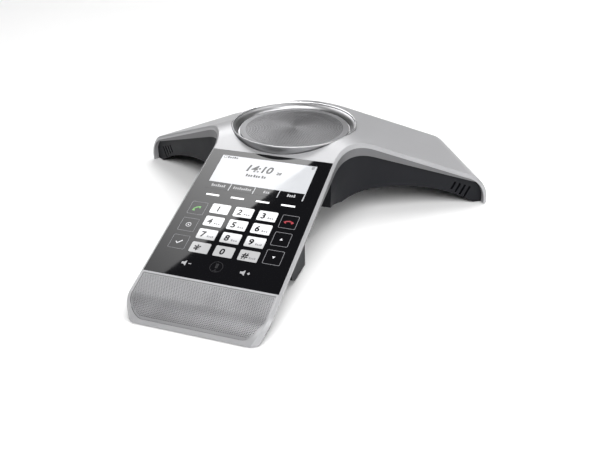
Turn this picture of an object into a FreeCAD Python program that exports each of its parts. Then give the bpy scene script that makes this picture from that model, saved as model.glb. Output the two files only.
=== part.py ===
import FreeCAD, Part
import math
import os
import Sketcher
from FreeCAD import Placement, Rotation, Vector

# A cordless tabletop conference phone with three legs. The keypad leg points along -Y and the two
# side legs point 120 degrees to either side of it. The shells are drawn about the point where the
# three leg axes cross ("the hub"); every sub-part is then placed so that the origin of the whole
# object is the middle of its footprint, on the table, with +Z up. All sizes are in millimetres.

SIZES = {
    # silver top cover: each leg is a sloping plane that rolls over at the tip
    "cover_thickness": 2.9,
    "edge_chamfer": 1.5,
    "front_half_width": 46.9,
    "front_slope": 18.2,
    "front_height": 70.3,
    "front_reach": 187.0,
    "front_nose_radius": 22.0,
    "front_corner_radius": 17.0,
    "side_half_width": 42.0,
    "side_slope": 22.27,
    "side_height": 78.8,
    "side_reach": 144.5,
    "side_nose_radius": 24.0,
    "side_corner_radius": 2.0,
    "notch_radius": 38.0,
    "front_overrun": 1.0,
    "side_overrun": 4.0,
    "front_ridge_radius": 55.0,
    "rear_ridge_radius": 75.0,
    "floor_gap": 0.6,
    # grey middle frame and dark lower housing
    "frame_inset": 0.5,
    "frame_wall": 2.4,
    "front_band_height": 59.1,
    "front_band_fall": 0.279,
    "side_band_height": 66.9,
    "side_band_fall": 0.354,
    "band_ridge_radius": 60.0,
    "housing_inset_top": 1.0,
    "housing_inset_floor": 4.5,
    "housing_wall": 2.4,
    "arch_radius": 137.0,
    "arch_crown": 21.7,
    "arch_middle": 62.0,
    "belly_height": 53.2,
    "belly_fall": 0.249,
    "belly_end": 152.0,
    "heel_end": 165.0,
    "tub_front": 45.0,
    # loudspeaker under the round ring
    "ring_offset": 3.5,
    "ring_radius": 47.4,
    "ring_neck": 45.6,
    "ring_top": 62.8,
    "ring_shoulder": 53.5,
    "ring_base": 47.0,
    "ring_gap": 0.3,
    "grille_radius": 42.2,
    "grille_height": 58.7,
    "grille_dome": 1.0,
    "grille_rim": 4.4,
    "driver_radius": 41.0,
    "driver_seat": 49.6,
    "magnet_radius": 23.0,
    "coil_radius": 8.2,
    "cone_radius": 30.0,
    # touch glass on the keypad leg
    "panel_start": 44.7,
    "panel_length": 117.2,
    "panel_width": 90.2,
    "glass_thickness": 1.6,
    "panel_gap": 0.15,
    "display_width": 71.0,
    "display_length": 34.3,
    "display_margin": 5.4,
    "inlay_depth": 0.5,
    "inlay_play": 0.04,
    "key_width": 13.2,
    "key_length": 8.7,
    "key_pitch_across": 16.77,
    "key_pitch_down": 11.66,
    "first_key_row": 57.55,
    "key_corner": 1.0,
    "soft_key_width": 9.6,
    "soft_key_length": 1.5,
    "soft_key_corner": 0.2,
    "soft_key_pitch": 18.2,
    "soft_key_row": 45.6,
    # boards and display under the glass
    "display_frame": 5.0,
    "cell_thickness": 1.6,
    "light_thickness": 1.2,
    "touch_board_length": 56.0,
    "touch_board_place": 71.0,
    "main_board_width": 80.0,
    "main_board_length": 44.0,
    "main_board_place": 26.0,
    "shield_width": 30.0,
    "shield_length": 15.0,
    "chip_width": 14.0,
    # perforated front grille at the tip of the keypad leg
    "front_grille_start": 157.4,
    "front_grille_inset": 2.7,
    "front_grille_lip": 1.3,
    "front_grille_corner": 12.0,
    "front_grille_sink": 0.5,
    "front_grille_thickness": 1.1,
    # battery pod under the keypad leg
    "pod_half_width": 41.0,
    "pod_back": 95.0,
    "pod_front": 121.5,
    "pod_floor": 2.4,
    "pod_wall": 2.0,
    "pod_bevel": 4.0,
    "door_half_width": 38.5,
    "door_thickness": 1.7,
    "door_play": 0.15,
    "tongue_reach": 1.3,
    "tongue_height": 0.6,
    "tongue_thickness": 0.8,
    "battery_width": 72.0,
    "battery_length": 18.5,
    "battery_height": 16.0,
    # microphones behind the slanted slots near the side tips
    "slot_width": 1.8,
    "slot_pitch": 3.9,
    "slot_start": 118.0,
    "slot_height": 16.6,
    "slot_drop": 2.25,
    "slot_length": 6.8,
    "slot_growth": 1.0,
    "slot_lean": 25.0,
    "mic_radius": 3.0,
    "mic_reach": 30.6,
    "mic_level": 17.2,
    "front_mic_place": 171.0,
    "front_mic_level": 5.4,
    "mesh_thickness": 0.3,
    "mesh_length": 26.0,
    "mesh_height": 30.0,
    # fasteners and feet
    "screw_radius": 1.5,
    "screw_head_radius": 2.8,
    "screw_seat": 23.0,
    "screw_reach": 28.0,
    "outer_screw_place": 92.0,
    "inner_screw_place": 46.0,
    "boss_radius": 3.4,
    "post_radius": 4.6,
    "boss_split": 26.0,
    "panel_ledge": 3.0,
    "foot_thickness": 1.6,
    "front_foot_length": 8.0,
    "side_foot_length": 5.0,
    "foot_corner": 2.0,
    "side_foot_width": 60.0,
    "side_foot_place": 138.2,
    "front_foot_width": 70.0,
    "front_foot_place": 173.5,
    # charging socket in the rear wall
    "port_width": 7.6,
    "port_height": 2.8,
    "port_depth": 4.4,
    "port_level": 28.6,
    "port_place": 46.9,
    "hub_board": 34.0,
    "hub_board_level": 19.6,
    "antenna_width": 10.0,
    "antenna_length": 34.0,
    "antenna_place": 78.0,
    "antenna_level": 28.0,
}

LEG_TURN = {"front": 0.0, "right": 120.0, "left": -120.0}
NEIGHBOURS = (("front", "right"), ("right", "left"), ("left", "front"))
BIG = 300.0

document = FreeCAD.newDocument("conference_phone")
sheet = document.addObject("Spreadsheet::Sheet", "Sizes")
for row, (alias, value) in enumerate(SIZES.items(), start=1):
    sheet.set(f"A{row}", alias)
    sheet.set(f"B{row}", str(value))
    sheet.setAlias(f"B{row}", alias)
document.recompute()


def size(alias):
    """The value of one cell of the sheet."""
    return float(sheet.get(alias))


def tilt_tangent(kind):
    """Fall of a leg's top plane per millimetre of length."""
    return math.tan(math.radians(size(kind + "_slope")))


def rear_reach():
    """Distance from the hub to the rearmost point of the side tips, along +Y."""
    along = (size("side_reach") - size("edge_chamfer")) * math.sin(math.radians(30))
    across = size("side_half_width") * math.cos(math.radians(30))
    return along + across


def nose_centre(kind):
    """Centre (along the leg, height) of the round that ends a leg's top surface."""
    radius = size(kind + "_nose_radius")
    slope = math.radians(size(kind + "_slope"))
    along = size(kind + "_reach") - radius
    touch = along + radius * math.sin(slope)
    height = size(kind + "_height") - tilt_tangent(kind) * touch - radius * math.cos(slope)
    return along, height


def front_extent():
    """Distance from the hub to the front edge of the cover, where it stops above the table."""
    along, height = nose_centre("front")
    drop = size("floor_gap") - height
    return along + math.sqrt(size("front_nose_radius") ** 2 - drop ** 2)


HUB_Y = (front_extent() - rear_reach()) / 2
EVERY_PART = []


def finish_part(thing, name, placement=Placement()):
    """Names a finished sub-part and moves it from the hub's frame to the object's frame."""
    thing.Label = name
    thing.Placement = Placement(Vector(0, HUB_Y, 0), Rotation()).multiply(placement)
    EVERY_PART.append(thing)
    return thing


def shape_part(name, shape, placement=Placement()):
    """A sub-part whose free-form shape is made with Part's own functions."""
    feature = document.addObject("Part::Feature", name)
    feature.Shape = shape
    return finish_part(feature, name, placement)


# --- placements -----------------------------------------------------------------------------------

def on_leg(kind, along, across=0.0, height=0.0):
    """A frame on a leg: its origin is the given point and its -Y points to the leg's tip."""
    turn = Placement(Vector(), Rotation(Vector(0, 0, 1), LEG_TURN[kind]))
    return turn.multiply(Placement(Vector(across, -along, height), Rotation()))


def on_panel(across=0.0, down=0.0, depth=0.0):
    """A frame on the front leg's top plane: +Y climbs the slope and +Z leaves the glass."""
    start = size("panel_start")
    height = size("front_height") - tilt_tangent("front") * start
    tilt = Placement(Vector(0, -start, height), Rotation(Vector(1, 0, 0), size("front_slope")))
    return tilt.multiply(Placement(Vector(across, -down, -depth), Rotation()))


# --- sketches bound to the sheet --------------------------------------------------------------------

def origin_plane(body, role):
    """One of a body's own origin planes."""
    return [item for item in body.Origin.OriginFeatures if item.Role == role][0]


def outline_sketch(body, role, corners):
    """A closed outline whose corners are pairs of expressions, each bound to the sheet."""
    sketch = body.newObject("Sketcher::SketchObject", body.Name + "_outline")
    sketch.AttachmentSupport = [(origin_plane(body, role), "")]
    sketch.MapMode = "FlatFace"
    places = []
    for pair in corners:
        places.append([float(sketch.evalExpression(text)) for text in pair])
    count = len(places)
    for index, place in enumerate(places):
        following = places[(index + 1) % count]
        sketch.addGeometry(Part.LineSegment(Vector(*place, 0), Vector(*following, 0)))
    for index in range(count):
        sketch.addConstraint(Sketcher.Constraint("Coincident", index, 2, (index + 1) % count, 1))
    for index, pair in enumerate(corners):
        for kind, text, value in zip(("DistanceX", "DistanceY"), pair, places[index]):
            number = sketch.addConstraint(Sketcher.Constraint(kind, -1, 1, index, 1, value))
            sketch.setExpression(f"Constraints[{number}]", text)
    return sketch


def turned_body(name, corners):
    """A body turned about its Z axis from an outline of (radius, height) expressions."""
    body = document.addObject("PartDesign::Body", name)
    sketch = outline_sketch(body, "XZ_Plane", corners)
    turned = body.newObject("PartDesign::Revolution", name + "_turned")
    turned.Profile = sketch
    turned.ReferenceAxis = (sketch, ["V_Axis"])
    turned.Angle = 360
    return body


def plate_body(name, half_width, half_length, thickness, corner=None):
    """A rectangular plate about its origin, from z = 0 up, with rounded upright corners."""
    body = document.addObject("PartDesign::Body", name)
    corners = [(f"-({half_width})", f"-({half_length})"), (half_width, f"-({half_length})"),
               (half_width, half_length), (f"-({half_width})", half_length)]
    pad = body.newObject("PartDesign::Pad", name + "_pad")
    pad.Profile = outline_sketch(body, "XY_Plane", corners)
    pad.setExpression("Length", thickness)
    if corner:
        document.recompute()
        upright = []
        for index, edge in enumerate(pad.Shape.Edges, start=1):
            if abs(edge.tangentAt(edge.FirstParameter).z) > 0.99:
                upright.append(f"Edge{index}")
        rounded = body.newObject("PartDesign::Fillet", name + "_corners")
        rounded.Base = (pad, upright)
        rounded.setExpression("Radius", corner)
        body.Tip = rounded
    return body


def box_part(name, length, width, height, placement):
    """A box centred across and along its frame, from z = 0 up, with sizes bound to the sheet."""
    block = document.addObject("Part::Box", name)
    block.setExpression("Length", length)
    block.setExpression("Width", width)
    block.setExpression("Height", height)
    document.recompute()
    centre = Placement(Vector(-block.Length.Value / 2, -block.Width.Value / 2, 0), Rotation())
    return finish_part(block, name, placement.multiply(centre))


# --- shell geometry -------------------------------------------------------------------------------

def rounded_outline(corners, height):
    """A closed wire through (point, radius) corners, with an arc at each corner."""
    starts = []
    ends = []
    middles = []
    count = len(corners)
    for index, (point, radius) in enumerate(corners):
        back = (corners[index - 1][0] - point).normalize()
        ahead = (corners[(index + 1) % count][0] - point).normalize()
        half = back.getAngle(ahead) / 2
        bisector = (back + ahead).normalize()
        starts.append(point + back * (radius / math.tan(half)))
        ends.append(point + ahead * (radius / math.tan(half)))
        middles.append(point + bisector * (radius / math.sin(half) - radius))
    lift = Vector(0, 0, height)
    edges = []
    for index in range(count):
        arc = Part.Arc(starts[index] + lift, middles[index] + lift, ends[index] + lift)
        edges.append(arc.toShape())
        following = starts[(index + 1) % count]
        edges.append(Part.LineSegment(ends[index] + lift, following + lift).toShape())
    return Part.Wire(edges)


def line_meeting(point, direction, other_point, other_direction):
    """Where two lines in the plan cross."""
    across = Vector(-other_direction.y, other_direction.x, 0)
    step = (other_point - point).dot(across) / direction.dot(across)
    return point + direction * step


def star_wire(inset, height=0.0, front_short=0.0, side_short=0.0):
    """The plan outline of the three legs, inset by a distance, with the tips cut short."""
    legs = []
    for kind, angle in (("front", -90), ("side", 30), ("side", 150)):
        turn = math.radians(angle)
        along = Vector(math.cos(turn), math.sin(turn), 0)
        across = Vector(-math.sin(turn), math.cos(turn), 0)
        short = front_short if kind == "front" else side_short
        reach = size(kind + "_reach") + size(kind + "_overrun") - inset - short
        legs.append((kind, along, across, size(kind + "_half_width") - inset, reach))
    corners = []
    for index, (kind, along, across, half, reach) in enumerate(legs):
        corner = max(size(kind + "_corner_radius") - inset, 0.6)
        corners.append((along * reach - across * half, corner))
        corners.append((along * reach + across * half, corner))
        _, next_along, next_across, next_half, _ = legs[(index + 1) % 3]
        notch = line_meeting(across * half, along, next_across * -next_half, next_along)
        corners.append((notch, size("notch_radius") + inset))
    return rounded_outline(corners, height)


def star_prism(inset, low=-20.0, high=120.0, front_short=0.0, side_short=0.0):
    """The star outline stood up as a straight-sided solid."""
    wire = star_wire(inset, low, front_short, side_short)
    return Part.Face(wire).extrude(Vector(0, 0, high - low))


def drafted_star(extra):
    """The star outline as a solid that narrows towards the table."""
    low = -5.0
    high = 75.0
    top_inset = size("housing_inset_top")
    fall = (size("housing_inset_floor") - top_inset) / size("ring_top")
    wires = []
    for height in (low, high):
        inset = top_inset + fall * (size("ring_top") - height) + extra
        wires.append(star_wire(max(inset, 0.2), height))
    return Part.makeLoft(wires, True, True)


def leg_prism(kind, points):
    """A solid from a closed outline of (along, height) points, across the whole leg."""
    corners = [Vector(-BIG, -along, height) for along, height in points]
    wire = Part.makePolygon(corners + [corners[0]])
    prism = Part.Face(wire).extrude(Vector(2 * BIG, 0, 0))
    prism.rotate(Vector(), Vector(0, 0, 1), LEG_TURN[kind])
    return prism


def under_line(kind, height, fall, low=-60.0):
    """Everything under a sloping line along a leg."""
    return leg_prism(kind, [(-BIG, low), (BIG, low), (BIG, height - fall * BIG),
                            (-BIG, height + fall * BIG)])


def leg_family(kind):
    """The side legs share one set of sizes."""
    return "front" if kind == "front" else "side"


def leg_surface(kind, depth):
    """Everything under a leg's top surface, lowered by a depth: a plane and a round nose."""
    family = leg_family(kind)
    slope = math.radians(size(family + "_slope"))
    radius = size(family + "_nose_radius") - depth
    along, height = nose_centre(family)
    touch = Vector(0, -(along + radius * math.sin(slope)), height + radius * math.cos(slope))
    bend = math.radians(45) - slope / 2
    middle = Vector(0, -(along + radius * math.cos(bend)), height + radius * math.sin(bend))
    tip = Vector(0, -(along + radius), height)
    back = Vector(0, BIG, touch.z + tilt_tangent(family) * (BIG - touch.y))
    low = -60.0
    edges = [Part.LineSegment(back, touch).toShape(), Part.Arc(touch, middle, tip).toShape()]
    corners = [tip, Vector(0, tip.y, low), Vector(0, BIG, low), back]
    for start, end in zip(corners, corners[1:]):
        edges.append(Part.LineSegment(start, end).toShape())
    face = Part.Face(Part.Wire(edges))
    face.translate(Vector(-BIG, 0, 0))
    block = face.extrude(Vector(2 * BIG, 0, 0))
    block.rotate(Vector(), Vector(0, 0, 1), LEG_TURN[kind])
    return block


def falling_plane(kind, height, slope):
    """A plane that falls along a leg, as a point over the hub and the upward normal."""
    turn = math.radians(-90 + LEG_TURN[kind])
    normal = Vector(math.cos(turn) * math.sin(slope), math.sin(turn) * math.sin(slope), math.cos(slope))
    return Vector(0, 0, height), normal


def top_plane(kind, depth):
    """A leg's top plane, lowered by a depth."""
    family = leg_family(kind)
    slope = math.radians(size(family + "_slope"))
    return falling_plane(kind, size(family + "_height") - depth / math.cos(slope), slope)


def band_plane(kind, lower):
    """The plane of the middle frame's lower edge along a leg."""
    family = leg_family(kind)
    slope = math.atan(size(family + "_band_fall"))
    return falling_plane(kind, size(family + "_band_height") - lower, slope)


def ridge_block(plane, other_plane, radius):
    """Everything under two planes, with the ridge between them rounded."""
    point, normal = plane
    other_point, other_normal = other_plane
    ridge = normal.cross(other_normal).normalize()
    down = ridge.cross(normal).normalize()
    other_down = other_normal.cross(ridge).normalize()
    # the ridge passes through the point of the first plane that also lies in the second
    reach = (other_point - point).dot(other_normal) / down.dot(other_normal)
    crest = point + down * reach
    if down.z > 0:
        down = down * -1
    if other_down.z > 0:
        other_down = other_down * -1
    half = down.getAngle(other_down) / 2
    touch = radius / math.tan(half)
    bisector = (down + other_down).normalize()
    start = crest + down * touch
    middle = crest + bisector * (radius / math.sin(half) - radius)
    end = crest + other_down * touch
    floor = bisector * (2 * BIG)
    corners = [end, crest + other_down * BIG, crest + other_down * BIG + floor,
               crest + down * BIG + floor, crest + down * BIG, start]
    edges = [Part.Arc(start, middle, end).toShape()]
    for first, second in zip(corners, corners[1:]):
        edges.append(Part.LineSegment(first, second).toShape())
    face = Part.Face(Part.Wire(edges))
    face.translate(ridge * -BIG)
    return face.extrude(ridge * (2 * BIG))


def top_volume(depth):
    """Everything under the three top surfaces, with the ridges between the legs rounded."""
    block = leg_surface("front", depth)
    for kind in ("right", "left"):
        block = block.common(leg_surface(kind, depth))
    for kind, other in NEIGHBOURS:
        radius = size("front_ridge_radius" if "front" in (kind, other) else "rear_ridge_radius")
        block = block.common(ridge_block(top_plane(kind, depth), top_plane(other, depth), radius - depth))
    return block.Solids[0]


def slab(low, high):
    """A level layer of space."""
    return Part.makeBox(2 * BIG, 2 * BIG, high - low, Vector(-BIG, -BIG, low))


def panel_box(half_width, start, end, depth):
    """A box sunk into the front leg's top plane, between two distances down the slope."""
    block = Part.makeBox(2 * half_width, end - start, depth + 20, Vector(-half_width, -end, -depth))
    block.Placement = on_panel()
    return block


def grille_cutter(inset, start):
    """Everything inside the front grille's opening, beyond a distance along the leg."""
    beyond = leg_prism("front", [(start, -30), (BIG, -30), (BIG, 120), (start, 120)])
    step = inset - size("front_grille_inset")
    half = size("front_half_width") - inset
    tip = front_extent() - size("front_grille_lip") - step
    corner = size("front_grille_corner") - step
    corners = [(Vector(-half, -tip, 0), corner), (Vector(half, -tip, 0), corner),
               (Vector(half, 0, 0), corner), (Vector(-half, 0, 0), corner)]
    opening = Part.Face(rounded_outline(corners, -30.0)).extrude(Vector(0, 0, 150))
    return opening.common(beyond)


def screw_places():
    """Where the housing screws go: (leg, along, across) for each one."""
    places = []
    for kind in ("right", "left"):
        for across in (-size("screw_reach"), size("screw_reach")):
            places.append((kind, size("outer_screw_place"), across))
            places.append((kind, size("inner_screw_place"), across))
    return places


def upright(kind, along, across, radius, low, high):
    """An upright round bar on a leg."""
    bar = Part.makeCylinder(radius, high - low, Vector(0, 0, low))
    bar.Placement = on_leg(kind, along, across)
    return bar


# --- shells -----------------------------------------------------------------------------------------

def ring_hole():
    """The hole that the ring sinks into: straight below, and flared like the ring above."""
    neck = size("ring_neck") + size("ring_gap")
    flare = (size("ring_radius") - size("ring_neck")) / (size("ring_top") - size("ring_shoulder"))
    rise = 30.0
    centre = Vector(0, size("ring_offset"), size("ring_shoulder"))
    straight = Part.makeCylinder(neck, 40, centre - Vector(0, 0, 40))
    return straight.fuse(Part.makeCone(neck, neck + flare * rise, rise, centre))


def rim_edges(solid):
    """The sharp edges where upright walls meet, or meet the top, away from the table."""
    rim = []
    for edge in solid.Edges:
        middle = edge.valueAt((edge.FirstParameter + edge.LastParameter) / 2)
        normals = []
        for face in solid.ancestorsOfType(edge, Part.Face):
            normals.append(face.normalAt(*face.Surface.parameter(middle)))
        walls = [normal for normal in normals if abs(normal.z) < 0.02]
        if len(normals) == 2 and walls and middle.z > size("floor_gap") + 0.1:
            if normals[0].getAngle(normals[1]) > math.radians(30):
                rim.append(edge)
    return rim


def make_top_cover():
    """The silver cover: one bent plate with the ring hole, the glass recess and the grille opening."""
    outer = top_volume(0.0).common(star_prism(0.0)).common(slab(size("floor_gap"), 120)).Solids[0]
    outer = outer.makeChamfer(size("edge_chamfer"), rim_edges(outer))
    cover = outer.cut(top_volume(size("cover_thickness"))).cut(ring_hole())
    gap = size("panel_gap")
    half = size("panel_width") / 2
    length = size("panel_length")
    cover = cover.cut(panel_box(half + gap, -gap, length + gap, size("glass_thickness") + 0.05))
    ledge = size("panel_ledge")
    cover = cover.cut(panel_box(half - ledge, ledge, length - ledge, size("cover_thickness") + 3))
    cover = cover.cut(grille_cutter(size("front_grille_inset"), size("front_grille_start")))
    for kind, along, across in screw_places():
        bottom = size("boss_split")
        post = upright(kind, along, across, size("boss_radius"), bottom, 100)
        post = post.common(top_volume(size("cover_thickness") - 0.5))
        cover = cover.fuse(post)
        cover = cover.cut(upright(kind, along, across, size("screw_radius"), -5, bottom + 9))
    return shape_part("top_cover", cover.removeSplitter())


def band_volume(lower):
    """Everything under the lower edge of the grey middle frame, which bends round the notches."""
    block = under_line("front", size("front_band_height") - lower, size("front_band_fall"))
    for kind in ("right", "left"):
        edge = under_line(kind, size("side_band_height") - lower, size("side_band_fall"))
        block = block.common(edge)
    radius = size("band_ridge_radius") - lower
    for kind, other in NEIGHBOURS:
        block = block.common(ridge_block(band_plane(kind, lower), band_plane(other, lower), radius))
    return block.Solids[0]


def make_middle_frame():
    """The grey band between the cover and the lower housing: a closed star-shaped hoop."""
    outer = star_prism(size("frame_inset"))
    inner = star_prism(size("frame_inset") + size("frame_wall"), front_short=24, side_short=14)
    hoop = outer.cut(inner).common(top_volume(size("cover_thickness"))).cut(band_volume(0.0))
    for kind, along, across in screw_places():
        hoop = hoop.cut(upright(kind, along, across, size("boss_radius") + 0.3, -5, 100))
    return shape_part("middle_frame", hoop.common(slab(size("floor_gap"), 120)).removeSplitter())


def arch_cutter(kind, extra):
    """The round arch under a leg."""
    radius = size("arch_radius") + extra
    centre_height = size("arch_crown") - size("arch_radius")
    bar = Part.makeCylinder(radius, 140, Vector(-70, 0, 0), Vector(1, 0, 0))
    bar.Placement = on_leg(kind, size("arch_middle"), 0, centre_height).multiply(bar.Placement)
    return bar


def belly_line(along, extra):
    """Height of the keypad arm's underside, raised by a wall thickness."""
    return size("belly_height") - size("belly_fall") * along + extra


def housing_volume(extra):
    """The body under the frame, shrunk by a wall thickness."""
    block = drafted_star(extra).common(slab(size("floor_gap") + extra, 120))
    for kind in LEG_TURN:
        block = block.cut(arch_cutter(kind, extra))
    tub = size("tub_front") - extra
    end = size("belly_end") + extra
    heel = size("heel_end") + extra
    under_arm = leg_prism("front", [(tub - 3, -60), (heel, -60), (heel, 0.0), (end, belly_line(end, extra)),
                                    (tub + 2, belly_line(tub + 2, extra)), (tub - 3, 0.0)])
    return block.cut(under_arm)


def mic_slots(kind, flank):
    """The four slanted slots in one flank of a side leg, as cutting blocks."""
    depth = 9.0
    lean = Placement(Vector(), Rotation(Vector(1, 0, 0), size("slot_lean")))
    slots = []
    for number in range(4):
        length = size("slot_length") + number * size("slot_growth")
        along = size("slot_start") + number * size("slot_pitch")
        height = size("slot_height") - number * size("slot_drop")
        block = Part.makeBox(depth, size("slot_width"), length, Vector(-depth / 2, 0, -length / 2))
        across = flank * (size("side_half_width") - 3.0)
        block.Placement = on_leg(kind, along, across, height).multiply(lean)
        slots.append(block)
    return slots


def door_grooves():
    """The straight grooves in the pod's side walls that the door's tongues slide in."""
    half = size("door_half_width") + size("tongue_reach") + size("door_play")
    low = size("pod_floor") + size("tongue_height") - size("door_play")
    depth = size("tongue_thickness") + 2 * size("door_play")
    start = size("pod_back") + size("pod_wall")
    return Part.makeBox(2 * half, BIG - start, depth, Vector(-half, -BIG, low))


def pod_walls():
    """The box under the keypad arm that holds the battery, open below where the door slides."""
    half = size("pod_half_width")
    back = size("pod_back")
    front = size("pod_front")
    low = size("pod_floor")
    wall = size("pod_wall")
    bevel = size("pod_bevel")
    outer = leg_prism("front", [(back, low), (front - 1.5 * bevel, low), (front, low + bevel),
                                (front, belly_line(front, 1.0)), (back, belly_line(back, 1.0))])
    outer = outer.common(Part.makeBox(2 * half, BIG, 100, Vector(-half, -BIG, 0)))
    room = Part.makeBox(2 * (half - wall), front - back - 2 * wall, 100,
                        Vector(-half + wall, -front + wall, -5))
    door_top = low + size("door_thickness") + size("door_play")
    door_half = size("door_half_width") + size("door_play")
    door_way = Part.makeBox(2 * door_half, front - back, door_top + 5,
                            Vector(-door_half, -front - wall, -5))
    return outer.cut(room).cut(door_way).cut(door_grooves())


def make_lower_housing():
    """The dark lower housing: a tub with two arched arms, a thin keypad arm and the battery pod."""
    outer = housing_volume(0.0).common(band_volume(0.05))
    outer = outer.common(top_volume(size("cover_thickness") + 0.15))
    room = housing_volume(size("housing_wall"))
    housing = outer.cut(room).fuse(pod_walls())
    for kind, along, across in screw_places():
        post = upright(kind, along, across, size("post_radius"), 0, size("boss_split") - 0.05)
        housing = housing.fuse(post.common(housing_volume(0.0)))
        housing = housing.cut(upright(kind, along, across, size("screw_radius") + 0.2, -5, 40))
        housing = housing.cut(upright(kind, along, across, size("screw_head_radius") + 0.3, -5,
                                      size("screw_seat")))
    for kind in ("right", "left"):
        for flank in (-1, 1):
            for slot in mic_slots(kind, flank):
                housing = housing.cut(slot)
    for kind in LEG_TURN:
        housing = housing.cut(foot_block(kind, 0.2))
    port = Part.makeBox(size("port_width") + 0.4, 40, size("port_height") + 0.4,
                        Vector(-size("port_width") / 2 - 0.2, 30, size("port_level") - 0.2))
    return shape_part("lower_housing", housing.cut(port).removeSplitter())


def foot_block(kind, play):
    """A rubber foot under a leg's tip, grown by a clearance."""
    family = leg_family(kind)
    width = size(family + "_foot_width") + 2 * play
    length = size(family + "_foot_length") + 2 * play
    block = Part.makeBox(width, length, size("foot_thickness") + play, Vector(-width / 2, -length / 2, 0))
    block.Placement = on_leg(kind, size(family + "_foot_place"))
    return block


def make_feet():
    """One long rubber foot under each tip; these three stand on the table."""
    for kind in LEG_TURN:
        family = leg_family(kind)
        body = plate_body(kind + "_foot", f"Sizes.{family}_foot_width / 2",
                          f"Sizes.{family}_foot_length / 2", "Sizes.foot_thickness", "Sizes.foot_corner")
        finish_part(body, kind + "_foot", on_leg(kind, size(family + "_foot_place")))


def make_front_grille():
    """The bent perforated strip that closes the tip of the keypad leg, and the cloth behind it."""
    sink = size("front_grille_sink")
    back = sink + size("front_grille_thickness")
    opening = grille_cutter(size("front_grille_inset") + 0.25, size("front_grille_start") + 0.25)
    opening = opening.common(slab(3.2, 40))
    strip = top_volume(sink).cut(top_volume(back)).common(opening)
    shape_part("front_grille", strip.removeSplitter())
    cloth = top_volume(back + 0.05).cut(top_volume(back + 0.45)).common(opening)
    shape_part("front_grille_cloth", cloth.removeSplitter())


# --- loudspeaker ----------------------------------------------------------------------------------

def on_ring(height=0.0):
    """A frame on the loudspeaker's axis."""
    return Placement(Vector(0, size("ring_offset"), height), Rotation())


def turned_part(name, corners):
    """A turned body on the loudspeaker's axis."""
    return finish_part(turned_body(name, corners), name, on_ring())


def make_speaker_ring():
    """The bright ring that stands proud of the cover, with an inner ledge for the round grille."""
    turned_part("speaker_ring", [
        ("Sizes.driver_radius + 2.3", "Sizes.ring_base"),
        ("Sizes.ring_neck - 0.2", "Sizes.ring_base"),
        ("Sizes.ring_neck", "Sizes.ring_shoulder"),
        ("Sizes.ring_radius", "Sizes.ring_top - 0.6"),
        ("Sizes.ring_radius - 0.5", "Sizes.ring_top"),
        ("Sizes.ring_radius - 1.1", "Sizes.ring_top"),
        ("Sizes.grille_radius + 0.6", "Sizes.grille_height + 0.5"),
        ("Sizes.grille_radius + 0.6", "Sizes.grille_height - 1.4"),
        ("Sizes.grille_radius - 2", "Sizes.grille_height - 1.4"),
        ("Sizes.grille_radius - 2", "Sizes.grille_height - 2.7"),
        ("Sizes.driver_radius + 2.3", "Sizes.grille_height - 2.7")])


def make_speaker_grille():
    """The round grille, slightly domed, with a plain rim, and the cloth under it."""
    turned_part("speaker_grille", [
        ("0", "Sizes.grille_height + Sizes.grille_dome - 0.9"),
        ("Sizes.grille_radius / 2", "Sizes.grille_height + 0.75 * Sizes.grille_dome - 0.9"),
        ("Sizes.grille_radius - Sizes.grille_rim", "Sizes.grille_height - 0.9"),
        ("Sizes.grille_radius - Sizes.grille_rim", "Sizes.grille_height - 1.3"),
        ("Sizes.grille_radius", "Sizes.grille_height - 1.3"),
        ("Sizes.grille_radius", "Sizes.grille_height - 0.3"),
        ("Sizes.grille_radius - 0.3", "Sizes.grille_height"),
        ("Sizes.grille_radius - Sizes.grille_rim", "Sizes.grille_height"),
        ("Sizes.grille_radius / 2", "Sizes.grille_height + 0.75 * Sizes.grille_dome"),
        ("0", "Sizes.grille_height + Sizes.grille_dome")])
    turned_part("speaker_cloth", [
        ("0", "Sizes.grille_height - 1.8"),
        ("Sizes.grille_radius - 2.2", "Sizes.grille_height - 1.8"),
        ("Sizes.grille_radius - 2.2", "Sizes.grille_height - 1.4"),
        ("0", "Sizes.grille_height - 1.4")])


def driver_part(name, corners):
    """A turned part of the driver, from (radius alias, offset, height above the driver's seat)."""
    outline = []
    for alias, offset, height in corners:
        radius = f"Sizes.{alias} {offset:+g}" if alias else "0"
        outline.append((radius, f"Sizes.driver_seat {height:+g}"))
    return turned_part(name, outline)


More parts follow.
